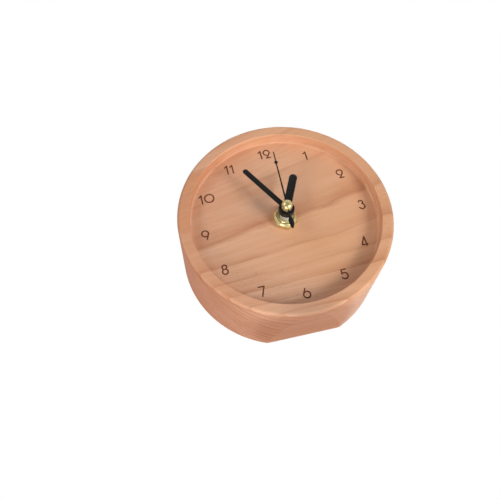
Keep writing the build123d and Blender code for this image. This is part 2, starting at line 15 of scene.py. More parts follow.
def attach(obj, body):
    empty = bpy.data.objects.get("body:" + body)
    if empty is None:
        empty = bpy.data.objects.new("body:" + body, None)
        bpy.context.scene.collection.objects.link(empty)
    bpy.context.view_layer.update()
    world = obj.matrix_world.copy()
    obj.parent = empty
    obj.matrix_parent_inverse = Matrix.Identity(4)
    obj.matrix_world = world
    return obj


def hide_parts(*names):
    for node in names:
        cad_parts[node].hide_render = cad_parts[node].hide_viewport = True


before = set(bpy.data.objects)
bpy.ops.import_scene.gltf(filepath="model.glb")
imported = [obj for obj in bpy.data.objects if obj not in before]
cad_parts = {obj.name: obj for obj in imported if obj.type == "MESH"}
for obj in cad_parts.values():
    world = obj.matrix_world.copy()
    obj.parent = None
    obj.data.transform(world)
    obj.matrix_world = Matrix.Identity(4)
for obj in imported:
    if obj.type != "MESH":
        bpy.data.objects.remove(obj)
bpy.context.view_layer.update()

log = logging.getLogger("desk_clock")

Point = tuple[float, float]
Triple = tuple[float, float, float]
Colour = tuple[float, float, float, float]
Mesh = bpy.types.Mesh
Object = bpy.types.Object
Material = bpy.types.Material
Socket = bpy.types.NodeSocket
Node = bpy.types.Node
Tree = bpy.types.NodeTree
Shape = bmesh.types.BMesh
Parts = tuple[object, object, object]

TINY = 1e-6
TURN_STEPS = 72


@dataclass(frozen=True)
class ClockAxes:
    """The clock's own axes in millimetres: X to 3 o'clock, Y to 12, Z out of the dial from the rim's face."""

    case_radius: float = 50.0
    case_depth: float = 42.0
    base_lip: float = 2.0
    lean: float = math.radians(5.2)

    @property
    def flat_z(self) -> float:
        """Depth of the flat's middle."""
        return -(self.base_lip + self.case_depth) / 2

    @property
    def flat_y(self) -> float:
        """Height of the flat's middle."""
        return (-self.flat_z - self.base_lip) * math.tan(self.lean) - self.case_radius

    def turn(self) -> Matrix:
        """Rotation from the clock's axes to the row frame."""
        return Matrix.Rotation(math.pi / 2 - self.lean, 4, "X")

    def ray(self, way: Triple) -> Vector:
        """Direction in the row frame, of length one."""
        return (self.turn().to_3x3() @ Vector(way)).normalized()

    def to_row(self) -> Matrix:
        """Matrix from the clock's millimetres to the row frame's metres."""
        stand = Matrix.Translation((0, -self.flat_y, -self.flat_z))
        return Matrix.Scale(0.001, 4) @ self.turn() @ stand


AXES = ClockAxes()


def srgb(*levels: int) -> Colour:
    """Colour for a shader from the usual eight-bit numbers.

    Args:
        *levels: Red, green and blue from 0 to 255.

    Returns:
        The linear colour with full alpha.
    """
    shares = [level / 255 for level in levels]
    red, green, blue = [s / 12.92 if s <= 0.04045 else ((s + 0.055) / 1.055) ** 2.4 for s in shares]
    return red, green, blue, 1.0


class Graph:
    """Short way to place and join the nodes of one shader tree."""

    def __init__(self, tree: Tree) -> None:
        """Works on a tree."""
        self.tree = tree

    def feed(self, socket: Socket, value: object) -> None:
        """Links a socket into another, or sets its value.

        Args:
            socket: The input.
            value: A socket or a plain value.
        """
        if isinstance(value, bpy.types.NodeSocket):
            self.tree.links.new(value, socket)
        else:
            socket.default_value = value

    def fill(self, node: Node, values: dict[str | int, object]) -> None:
        """Feeds a node's inputs, by name or number."""
        for name, value in values.items():
            self.feed(node.inputs[name], value)

    def node(self, kind: str, values: dict[str | int, object] | None = None, **settings: object) -> Node:
        """Adds a node.

        Args:
            kind: The node's type name.
            values: Values or sockets for its inputs, by name or number.
            **settings: The node's own settings.

        Returns:
            The new node.
        """
        made = self.tree.nodes.new(kind)
        for name, setting in settings.items():
            setattr(made, name, setting)
        self.fill(made, values or {})
        return made

    def math(self, operation: str, *values: object) -> Socket:
        """Output of a Math node on one to three values."""
        return self.node("ShaderNodeMath", dict(enumerate(values)), operation=operation).outputs[0]

    def scaled(self, value: object, gain: object, start: object) -> Socket:
        """Value times a gain, plus a start."""
        return self.math("MULTIPLY_ADD", value, gain, start)

    def times(self, *values: object) -> Socket:
        """Product of two or more values."""
        return reduce(lambda first, second: self.math("MULTIPLY", first, second), values)

    def span(self, value: object, low: float, high: float, first: float = 0.0, last: float = 1.0) -> Socket:
        """Smooth step of a value from low to high, put out from first to last."""
        limits = {"Value": value, "From Min": low, "From Max": high, "To Min": first, "To Max": last}
        return self.node("ShaderNodeMapRange", limits, interpolation_type="SMOOTHSTEP").outputs["Result"]

    def mix(self, share: object, first: object, second: object) -> Socket:
        """Colour between two colours."""
        return self.node("ShaderNodeMix", {0: share, 6: first, 7: second}, data_type="RGBA").outputs[2]

    def stretched(self, parts: Parts, scales: Triple) -> Socket:
        """Vector of three values, each with its own scale."""
        sized = [self.math("MULTIPLY", part, scale) for part, scale in zip(parts, scales)]
        return self.node("ShaderNodeCombineXYZ", dict(enumerate(sized))).outputs[0]

    def noise(self, place: object, scale: float, detail: float = 2.0, rough: float = 0.5) -> Socket:
        """Value of a noise texture."""
        values = {"Vector": place, "Scale": scale, "Detail": detail, "Roughness": rough}
        return self.node("ShaderNodeTexNoise", values).outputs[0]

    def spread(self, parts: Parts, scales: Triple, detail: float = 2.0, rough: float = 0.5) -> Socket:
        """Noise drawn out by a scale of its own along each of three values."""
        return self.noise(self.stretched(parts, scales), 1.0, detail, rough)

    def clock_place(self) -> Socket:
        """Place on the surface.

        Returns:
            A vector in the clock's millimetres.
        """
        coordinates = self.node("ShaderNodeTexCoord").outputs["Object"]
        values = {
            "Vector": coordinates,
            "Location": (0, AXES.flat_y, AXES.flat_z),
            "Rotation": (AXES.lean - math.pi / 2, 0, 0),
            "Scale": (1000, 1000, 1000),
        }
        return self.node("ShaderNodeMapping", values).outputs[0]

    def bump(self, height: object, strength: float, distance: float) -> Socket:
        """Normal from a height, with the distance in millimetres."""
        values = {"Strength": strength, "Distance": distance / 1000, "Height": height}
        return self.node("ShaderNodeBump", values).outputs[0]

    def place_group(self, group: Tree, values: dict[str, object]) -> Node:
        """Puts a node group in this tree with its own values."""
        return self.node("ShaderNodeGroup", values, node_tree=group)


def new_group(name: str, inputs: dict[str, float | None], outputs: list[str]) -> tuple[Graph, Node, Node]:
    """Starts a shader node group.

    Args:
        name: The group's name.
        inputs: Its inputs with their defaults; None makes a vector input.
        outputs: Names of its value outputs.

    Returns:
        The graph, the input node and the output node.
    """
    tree = bpy.data.node_groups.new(name, "ShaderNodeTree")
    for label, default in inputs.items():
        kind = "NodeSocketVector" if default is None else "NodeSocketFloat"
        socket = tree.interface.new_socket(name=label, in_out="INPUT", socket_type=kind)
        if default is not None:
            socket.default_value = default
    for label in outputs:
        tree.interface.new_socket(name=label, in_out="OUTPUT", socket_type="NodeSocketFloat")
    graph = Graph(tree)
    return graph, graph.node("NodeGroupInput"), graph.node("NodeGroupOutput")


@lru_cache(maxsize=None)
def beech_grain() -> Tree:
    """Growth rings, streaks, fibres and flecks of flat-sawn beech that run through the whole block.

    Returns:
        The node group.
    """
    outputs = ["Late Wood", "Line", "Ring Tone", "Dark Years", "Streak", "Fibre", "Fleck", "Warmth"]
    graph, source, sink = new_group("beech_grain", {"Place": None, "Ring Width": 3.4}, outputs)
    span, times, spread = graph.span, graph.times, graph.spread
    pith = (12.0, -83.5, 0.0)
    lean, lean_gain = 0.16, 0.0035
    apart = graph.node("ShaderNodeSeparateXYZ", {0: source.outputs["Place"]}).outputs
    across, up, out = apart[0], apart[1], apart[2]
    side = graph.math("SUBTRACT", up, times(across, graph.scaled(up, lean_gain, lean)))
    parts = (across, side, out)
    # Years grow round a pith far behind the dial, with a slow sway and frayed edges.
    sway = graph.scaled(spread(parts, (0.030, 0.045, 0.06)), 0.5, -0.25)
    fray = graph.scaled(spread(parts, (0.06, 0.6, 0.6), 3.0), 0.12, -0.06)
    section = graph.node("ShaderNodeCombineXYZ", {0: side, 1: out}).outputs[0]
    reach = graph.node("ShaderNodeVectorMath", {0: section, 1: pith}, operation="DISTANCE").outputs["Value"]
    ring = graph.math("DIVIDE", reach, source.outputs["Ring Width"])
    ring = graph.math("ADD", ring, graph.math("ADD", sway, fray))
    step = graph.math("FRACT", ring)
    # Each year has its own tone and strength.
    year = {"W": graph.math("FLOOR", ring)}
    tone = graph.node("ShaderNodeTexWhiteNoise", year, noise_dimensions="1D").outputs["Value"]
    strength = graph.scaled(graph.math("FRACT", times(tone, 7.3)), 0.55, 0.45)
    fade = span(spread(parts, (0.03, 0.08, 0.08), 1.0), 0.32, 0.62, 0.35, 1.0)
    strength = times(strength, fade, span(side, 2.0, 20.0, 1.0, 0.45))
    late = graph.math("MAXIMUM", graph.math("POWER", step, 2.4), span(step, 0.0, 0.10, 0.8, 0.0))
    # Three zones of darker wood: a slanting layer at the left, the rim's front, and the upper left.
    layer = graph.scaled(out, 5.7, graph.scaled(sway, 6.0, side))
    inner = times(span(layer, 6.4, 7.3), span(layer, 37.0, 46.0, 1.0, 0.0))
    inner = times(inner, span(across, -34.0, -4.0, 1.0, 0.0))
    front = times(span(out, -3.5, -1.0), span(side, -46.0, -36.0), span(side, 20.0, 34.0, 0.65, 0.0))
    front = times(front, span(across, -34.0, 40.0, 1.0, 0.25))
    corner = times(span(across, -18.0, 4.0, 0.45, 0.0), span(side, 10.0, 24.0))
    # Short flecks that come in patches.
    cells = {"Scale": 1.0, "Vector": graph.stretched(parts, (0.26, 1.7, 1.7))}
    dash = graph.node("ShaderNodeTexVoronoi", cells, feature="F1").outputs["Distance"]
    gate = span(spread(parts, (0.03, 0.11, 0.11), 1.0), 0.38, 0.60)
    broad = graph.scaled(spread(parts, (0.014, 0.03, 0.03), 1.0), 1.6, -0.25)
    found = {
        "Late Wood": times(late, strength),
        "Line": times(span(step, 0.92, 1.0), strength),
        "Ring Tone": tone,
        "Dark Years": graph.math("MAXIMUM", graph.math("MAXIMUM", inner, front), corner),
        "Streak": span(spread(parts, (0.018, 0.42, 0.42)), 0.34, 0.66),
        "Fibre": spread(parts, (0.05, 1.6, 1.6), 4.0, 0.62),
        "Fleck": times(span(dash, 0.10, 0.22, 1.0, 0.0), gate),
        "Warmth": span(graph.scaled(across, 0.012, broad), 0.0, 1.0),
    }
    graph.fill(sink, found)
    return graph.tree


@lru_cache(maxsize=None)
def fine_mottle() -> Tree:
    """Fine grain and soft clouds, as on moulded, sprayed and rolled surfaces.

    Returns:
        The node group.
    """
    graph, source, sink = new_group("fine_mottle", {"Place": None, "Grain Size": 0.3}, ["Grain", "Cloud"])
    place = source.outputs["Place"]
    share = graph.math("DIVIDE", 1.0, source.outputs["Grain Size"])
    sized = graph.node("ShaderNodeVectorMath", {0: place, "Scale": share}, operation="SCALE").outputs[0]
    graph.fill(sink, {"Grain": graph.noise(sized, 1.0, 3.0, 0.6), "Cloud": graph.noise(place, 0.25, 3.0)})
    return graph.tree


@lru_cache(maxsize=None)
def turned_lines() -> Tree:
    """Fine rings of a lathe tool round the clock's middle.

    Returns:
        The node group.
    """
    graph, source, sink = new_group("turned_lines", {"Place": None, "Pitch": 0.12}, ["Lines"])
    apart = graph.node("ShaderNodeSeparateXYZ", {0: source.outputs["Place"]}).outputs
    flat = graph.node("ShaderNodeCombineXYZ", {0: apart[0], 1: apart[1]}).outputs[0]
    radius = graph.node("ShaderNodeVectorMath", {0: flat}, operation="LENGTH").outputs["Value"]
    run = graph.math("ADD", radius, graph.times(apart[2], 0.7))
    wander = graph.noise(source.outputs["Place"], 0.4, 1.0)
    ring = graph.math("ADD", graph.math("DIVIDE", run, source.outputs["Pitch"]), wander)
    wave = graph.math("SINE", graph.times(ring, math.tau))
    graph.feed(sink.inputs["Lines"], graph.scaled(wave, 0.5, 0.5))
    return graph.tree


@dataclass(frozen=True)
class Finish:
    """A finish with a name. Each kind says what goes into the Principled shader."""

    name: str

    def looks(self, graph: Graph, place: Socket) -> dict[str, object]:
        """Inputs of the shader.

        Args:
            graph: The material's graph.
            place: Place on the surface in millimetres.

        Returns:
            Values or sockets by the input's name.
        """
        raise NotImplementedError

    def material(self) -> Material:
        """Builds the material.

        Returns:
            The material, with its nodes.
        """
        material = bpy.data.materials.new(self.name)
        material.use_nodes = True
        graph = Graph(material.node_tree)
        graph.fill(material.node_tree.nodes["Principled BSDF"], self.looks(graph, graph.clock_place()))
        return material

    def mottle(self, graph: Graph, place: Socket, size: float) -> tuple[Socket, Socket]:
        """Grain and cloud of the fine mottle, with the grain's size in millimetres."""
        found = graph.place_group(fine_mottle(), {"Place": place, "Grain Size": size}).outputs
        return found["Grain"], found["Cloud"]


@dataclass(frozen=True)
class Beech(Finish):
    """Sanded and oiled beech."""

    early: Colour = srgb(232, 189, 162)
    middle: Colour = srgb(218, 166, 132)
    late: Colour = srgb(180, 112, 76)
    amber: Colour = srgb(224, 164, 117)
    dark: Colour = srgb(204, 134, 90)
    fleck: Colour = srgb(152, 92, 60)
    roughness: float = 0.40
    gloss: float = 0.25

    def grain(self, graph: Graph, place: Socket) -> Node:
        """Places the grain group."""
        return graph.place_group(beech_grain(), {"Place": place})

    def colour(self, graph: Graph, grain: Node) -> Socket:
        """Mixes the wood's colour from its grain.

        Args:
            graph: The material's graph.
            grain: The placed grain group.

        Returns:
            The colour socket.
        """
        found = grain.outputs
        tone = graph.scaled(found["Ring Tone"], 0.30, 0.05)
        tone = graph.scaled(found["Streak"], 0.34, tone)
        tone = graph.math("ADD", tone, graph.span(found["Fibre"], 0.30, 0.72, 0.0, 0.50))
        wood = graph.mix(tone, self.early, self.middle)
        layers = (
            ("Warmth", 0.50, self.amber),
            ("Dark Years", 0.62, self.dark),
            ("Late Wood", 0.64, self.late),
            ("Line", 0.38, self.late),
            ("Fleck", 0.38, self.fleck),
        )
        for label, share, tint in layers:
            wood = graph.mix(graph.times(found[label], share), wood, tint)
        return wood

    def looks(self, graph: Graph, place: Socket) -> dict[str, object]:
        """The wood's colour, with its fibres and pores as fine relief.

        Args:
            graph: The material's graph.
            place: Place on the surface in millimetres.

        Returns:
            Values or sockets by the input's name.
        """
        grain = self.grain(graph, place)
        fibre = grain.outputs["Fibre"]
        pores = graph.scaled(grain.outputs["Fleck"], -0.6, fibre)
        return {
            "Base Color": self.colour(graph, grain),
            "Roughness": graph.scaled(fibre, 0.14, self.roughness - 0.07),
            "Normal": graph.bump(pores, 0.35, 0.03),
            "Specular IOR Level": self.gloss,
        }


@dataclass(frozen=True)
class BurntBeech(Beech):
    """The same wood, browned by the engraving."""

    char: Colour = srgb(88, 41, 18)
    toasted: Colour = srgb(128, 69, 38)
    roughness: float = 0.7

    def looks(self, graph: Graph, place: Socket) -> dict[str, object]:
        """Browns that change with the fibres, on a dull skin.

        Args:
            graph: The material's graph.
            place: Place on the surface in millimetres.

        Returns:
            Values or sockets by the input's name.
        """
        grain = self.grain(graph, place)
        mottle, _ = self.mottle(graph, place, 0.25)
        depth = graph.math("ADD", mottle, graph.times(grain.outputs["Fibre"], 0.6))
        return {
            "Base Color": graph.mix(graph.span(depth, 0.5, 1.1), self.char, self.toasted),
            "Roughness": graph.scaled(mottle, 0.2, self.roughness - 0.1),
            "Normal": graph.bump(depth, 0.4, 0.04),
        }


@dataclass(frozen=True)
class TurnedMetal(Finish):
    """Metal turned on a lathe and polished."""

    colour: Colour = srgb(216, 202, 148)
    stain: Colour = srgb(192, 175, 116)
    roughness: float = 0.22
    pitch: float = 0.3
    metal: float = 0.75

    def looks(self, graph: Graph, place: Socket) -> dict[str, object]:
        """Metal with soft stains and the lathe's fine rings.

        Args:
            graph: The material's graph.
            place: Place on the surface in millimetres.

        Returns:
            Values or sockets by the input's name.
        """
        lines = graph.place_group(turned_lines(), {"Place": place, "Pitch": self.pitch}).outputs["Lines"]
        grain, cloud = self.mottle(graph, place, 0.5)
        worn = graph.scaled(grain, 0.12, self.roughness - 0.05)
        return {
            "Base Color": graph.mix(graph.span(cloud, 0.3, 0.8), self.colour, self.stain),
            "Roughness": graph.scaled(lines, 0.05, worn),
            "Normal": graph.bump(lines, 0.06, 0.01),
            "Metallic": self.metal,
        }


@dataclass(frozen=True)
class GrainedSkin(Finish):
    """Plastic, paint, rubber or resin with a fine skin."""

    colour: Colour = srgb(30, 30, 32)
    cloud: Colour = srgb(40, 40, 42)
    roughness: float = 0.5
    size: float = 0.3
    height: float = 0.02
    gloss: float = 0.5

    def looks(self, graph: Graph, place: Socket) -> dict[str, object]:
        """A nearly even colour with a fine grain.

        Args:
            graph: The material's graph.
            place: Place on the surface in millimetres.

        Returns:
            Values or sockets by the input's name.
        """
        grain, cloud = self.mottle(graph, place, self.size)
        return {
            "Base Color": graph.mix(graph.span(cloud, 0.3, 0.7), self.colour, self.cloud),
            "Roughness": graph.scaled(grain, 0.2, self.roughness - 0.1),
            "Normal": graph.bump(grain, 0.5, self.height),
            "Specular IOR Level": self.gloss,
        }


@dataclass(frozen=True)
class RolledMetal(Finish):
    """Sheet, wire and bar metal with fine rolling lines."""

    colour: Colour = srgb(196, 196, 200)
    dull: Colour = srgb(165, 165, 170)
    roughness: float = 0.35

    def looks(self, graph: Graph, place: Socket) -> dict[str, object]:
        """Metal with soft clouds and fine lines along one axis.

        Args:
            graph: The material's graph.
            place: Place on the surface in millimetres.

        Returns:
            Values or sockets by the input's name.
        """
        apart = graph.node("ShaderNodeSeparateXYZ", {0: place}).outputs
        streak = graph.spread((apart[0], apart[1], apart[2]), (0.4, 9.0, 9.0), 3.0)
        _, cloud = self.mottle(graph, place, 0.4)
        return {
            "Base Color": graph.mix(cloud, self.colour, self.dull),
            "Roughness": graph.scaled(streak, 0.25, self.roughness - 0.12),
            "Normal": graph.bump(streak, 0.15, 0.01),
            "Metallic": 1.0,
        }


@dataclass(frozen=True)
class CellSleeve(Finish):
    """Printed sleeve of a plain cell, with a dark band at its plus end."""

    body: Colour = srgb(196, 199, 204)
    band: Colour = srgb(44, 62, 88)
    band_from: float = 15.0

    def looks(self, graph: Graph, place: Socket) -> dict[str, object]:
        """Two plain colours that meet at a narrow edge.

        Args:
            graph: The material's graph.
            place: Place on the surface in millimetres.

        Returns:
            Values or sockets by the input's name.
        """
        across = graph.node("ShaderNodeSeparateXYZ", {0: place}).outputs[0]
        grain, cloud = self.mottle(graph, place, 0.6)
        edge = graph.scaled(grain, 0.06, across)
        share = graph.span(edge, self.band_from, self.band_from + 0.12)
        return {
            "Base Color": graph.mix(share, self.body, self.band),
            "Roughness": graph.scaled(grain, 0.15, 0.24),
            "Normal": graph.bump(cloud, 0.1, 0.05),
            "Metallic": 0.35,
        }


class Slot(Enum):
    """The record's material slots with their finishes."""

    BEECH = Beech("beech")
    BRASS = TurnedMetal("brass")
    BLACK_PAINT = GrainedSkin("black_paint", srgb(10, 9, 8), srgb(14, 13, 12), 0.28, 0.15, 0.004, 0.4)
    BLACK_PLASTIC = GrainedSkin("black_plastic", srgb(34, 34, 36), srgb(42, 42, 44), 0.5, 0.22, 0.02)
    WHITE_PLASTIC = GrainedSkin("white_plastic", srgb(228, 226, 216), srgb(218, 215, 203), 0.45, 0.4, 0.01)
    SILVER = TurnedMetal("silver", srgb(216, 216, 221), srgb(202, 203, 208), 0.34, 0.3, 0.45)
    STEEL = RolledMetal("steel")
    DARK_STEEL = RolledMetal("dark_steel", srgb(96, 97, 102), srgb(78, 79, 84), 0.4)
    COPPER_WIRE = GrainedSkin("copper_wire", srgb(150, 76, 44), srgb(168, 88, 50), 0.32, 0.5, 0.01)
    BOARD = GrainedSkin("board", srgb(150, 116, 62), srgb(136, 102, 52), 0.5, 0.35, 0.015)
    BLACK_RESIN = GrainedSkin("black_resin", srgb(16, 16, 17), srgb(22, 22, 23), 0.25, 0.8, 0.02)
    RUBBER = GrainedSkin("rubber", srgb(36, 36, 37), srgb(44, 44, 45), 0.75, 0.2, 0.02)
    CELL_SLEEVE = CellSleeve("cell_sleeve")

    @property
    def label(self) -> str:
        """The slot's name in the record."""
        return self.value.name


@lru_cache(maxsize=None)
def material_of(slot: Slot) -> Material:
    """The material of a slot, built once."""
    return slot.value.material()


class Body(Enum):
    """The CAD bodies that pieces of this scene ride on."""

    CASE = "case"
    SECOND = "second"
    MINUTE = "minute"
    HOUR = "hour"
    SETTING = "setting"
    CELL = "cell"


def arc(centre: Point, radius: float, start: float, end: float, steps: int) -> list[Point]:
    """Points on an arc.

    Args:
        centre: The arc's centre.
        radius: Its radius.
        start: First angle in degrees.
        end: Last angle in degrees.
        steps: Number of runs.

    Returns:
        The points, both ends included.
    """
    angles = [math.radians(start + (end - start) * step / steps) for step in range(steps + 1)]
    return [(centre[0] + radius * math.cos(a), centre[1] + radius * math.sin(a)) for a in angles]


def outward(shape: Shape) -> None:
    """Turns all faces of a mesh outward."""
    bmesh.ops.recalc_face_normals(shape, faces=shape.faces)


def lathe(profile: list[Point], segments: int, closed: bool, kinds: list[int] | None = None) -> Shape:
    """Turns a profile about Z.

    Args:
        profile: Radius and height of each point.
        segments: Steps round the axis.
        closed: True where the last point joins the first.
        kinds: Material number of each run of the profile.

    Returns:
        The turned mesh.
    """
    turned = bmesh.new()
    rows = []
    for radius, height in profile:
        count = 1 if radius < TINY else segments
        angles = [math.tau * step / segments for step in range(count)]
        rows.append([turned.verts.new((radius * math.cos(a), radius * math.sin(a), height)) for a in angles])
    runs = len(profile) if closed else len(profile) - 1
    for run in range(runs):
        first, second = rows[run], rows[(run + 1) % len(rows)]
        for step in range(segments):
            after = (step + 1) % segments
            corners = [first[step % len(first)], first[after % len(first)]]
            corners += [second[after % len(second)], second[step % len(second)]]
            face = turned.faces.new(list(dict.fromkeys(corners)))
            face.material_index = kinds[run] if kinds else 0
    outward(turned)
    return turned


def crease(shape: Shape, angle: float = 32.0, flats: tuple[Vector, ...] = ()) -> None:
    """Shades a mesh smooth, with sharp edges at steep angles and round flat faces.

    Args:
        shape: The mesh.
        angle: Angle in degrees from which an edge is sharp.
        flats: Normals of faces whose whole border is sharp.
    """
    limit, aligned = math.radians(angle), 0.99999
    for face in shape.faces:
        face.smooth = True
    for edge in shape.edges:
        sides = [face.normal for face in edge.link_faces]
        sharp = len(sides) == 2 and sides[0].angle(sides[1], 0.0) > limit
        for flat in flats:
            sharp = sharp or sum(side.dot(flat) > aligned for side in sides) == 1
        edge.smooth = not sharp


def reshade(mesh: Mesh, angle: float = 32.0, flats: tuple[Vector, ...] = ()) -> None:
    """Shades a finished mesh in the way of crease.

    Args:
        mesh: The mesh.
        angle: Angle in degrees from which an edge is sharp.
        flats: Normals of faces whose whole border is sharp.
    """
    shape = bmesh.new()
    shape.from_mesh(mesh)
    crease(shape, angle, flats)
    shape.to_mesh(mesh)
    shape.free()


def linked(name: str, data: bpy.types.ID) -> Object:
    """Puts a new object in the scene.

    Args:
        name: The object's name.
        data: Its mesh, light or camera.

    Returns:
        The object.
    """
    made = bpy.data.objects.new(name, data)
    bpy.context.scene.collection.objects.link(made)
    return made


def as_object(name: str, shape: Shape, slots: list[Material], from_clock: bool = True) -> Object:
    """Makes an object of a mesh.

    Args:
        name: The object's name.
        shape: The mesh, which is freed.
        slots: Its materials.
        from_clock: True where it is in the clock's millimetres.

    Returns:
        The object, in the row frame.
    """
    mesh = bpy.data.meshes.new(name)
    shape.to_mesh(mesh)
    shape.free()
    if from_clock:
        mesh.transform(AXES.to_row())
    for material in slots:
        mesh.materials.append(material)
    return linked(name, mesh)


def settled(made: Object) -> None:
    """Applies an object's modifiers to its mesh.

    Args:
        made: The object.
    """
    bpy.context.view_layer.update()
    graph = bpy.context.evaluated_depsgraph_get()
    mesh = bpy.data.meshes.new_from_object(made.evaluated_get(graph))
    made.modifiers.clear()
    made.data = mesh


def soften(made: Object, width: float, segments: int = 2, angle: float = 35.0) -> None:
    """Rounds the sharp edges of an object.

    Args:
        made: The object.
        width: Width of the rounding in millimetres.
        segments: Steps of the rounding.
        angle: Angle in degrees from which an edge is rounded.
    """
    round_over = made.modifiers.new("edges", "BEVEL")
    round_over.width = width / 1000
    round_over.segments = segments
    round_over.limit_method = "ANGLE"
    round_over.angle_limit = math.radians(angle)
    round_over.use_clamp_overlap = True
    settled(made)
    reshade(made.data, 50.0)


def copy_of(node: str, name: str, slot: Slot, width: float) -> Object:
    """A CAD node's shape with flat faces made whole and its edges rounded.

    Args:
        node: The CAD node.
        name: The new object's name.
        slot: Its finish.
        width: Width of the rounding in millimetres.

    Returns:
        The new object.
    """
    shape = bmesh.new()
    shape.from_mesh(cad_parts[node].data)
    merge, even = 2e-6, math.radians(0.6)
    bmesh.ops.remove_doubles(shape, verts=shape.verts, dist=merge)
    bmesh.ops.dissolve_limit(shape, angle_limit=even, verts=shape.verts, edges=shape.edges)
    corners = [vert.co.copy() for vert in shape.verts]
    shape.verts.index_update()
    faces = [[vert.index for vert in face.verts] for face in shape.faces]
    shape.free()
    fresh = bpy.data.meshes.new(name)
    fresh.from_pydata(corners, [], faces)
    clean = bmesh.new()
    clean.from_mesh(fresh)
    crease(clean)
    bpy.data.meshes.remove(fresh)
    made = as_object(name, clean, [material_of(slot)], from_clock=False)
    soften(made, width)
    return made


def fit(made: Object, body: Body, slot: Slot, *nodes: str) -> Object:
    """Sets a piece on its body.

    Args:
        made: The piece.
        body: The body that it rides on.
        slot: The record's slot for its finish; not used.
        *nodes: CAD nodes that it stands for.

    Returns:
        The piece.
    """
    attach(made, body.value)
    slot.label
    if nodes:
        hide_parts(*nodes)
    log.info("%s rides on %s, %d faces", made.name, body.value, len(made.data.polygons))
    return made


def refit(node: str, name: str, body: Body, slot: Slot, width: float) -> None:
    """Sets a copy of a CAD node, its edges rounded by a width, on its body in the node's place."""
    fit(copy_of(node, name, slot, width), body, slot, node)


